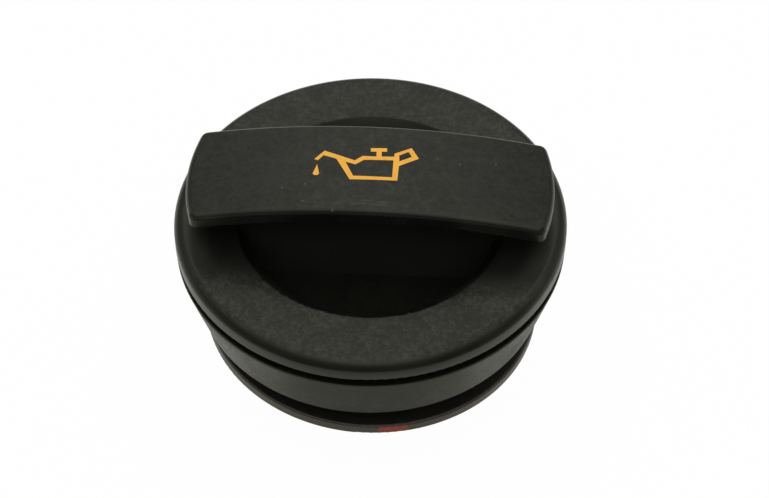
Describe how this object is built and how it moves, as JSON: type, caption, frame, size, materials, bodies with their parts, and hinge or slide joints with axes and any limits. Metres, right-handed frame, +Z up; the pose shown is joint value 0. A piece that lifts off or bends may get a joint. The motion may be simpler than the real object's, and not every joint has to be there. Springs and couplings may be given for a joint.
{
  "type": "oil filler cap",
  "caption": "Round engine oil filler cap: flat disc with an arched bridge grip over a finger dish, tapered skirt, flat sealing ring and hollow bayonet neck.",
  "frame": {"origin": "centre of the neck's foot, on the surface that the cap stands on", "axes": "+Z up the cap's axis to the grip, +X along the grip"},
  "size_m": [0.065, 0.065, 0.0427],
  "materials": {
    "cover_plastic": "black glass-filled plastic, satin with a fine mould grain",
    "body_plastic": "black glass-filled plastic, smooth satin",
    "seal_rubber": "black rubber, dull, with a faint red colour mark on its edge"
  },
  "bodies": {
    "root": {"grip_cover": "cover_plastic", "plug_body": "body_plastic", "sealing_ring": "seal_rubber"}
  },
  "joints": []
}
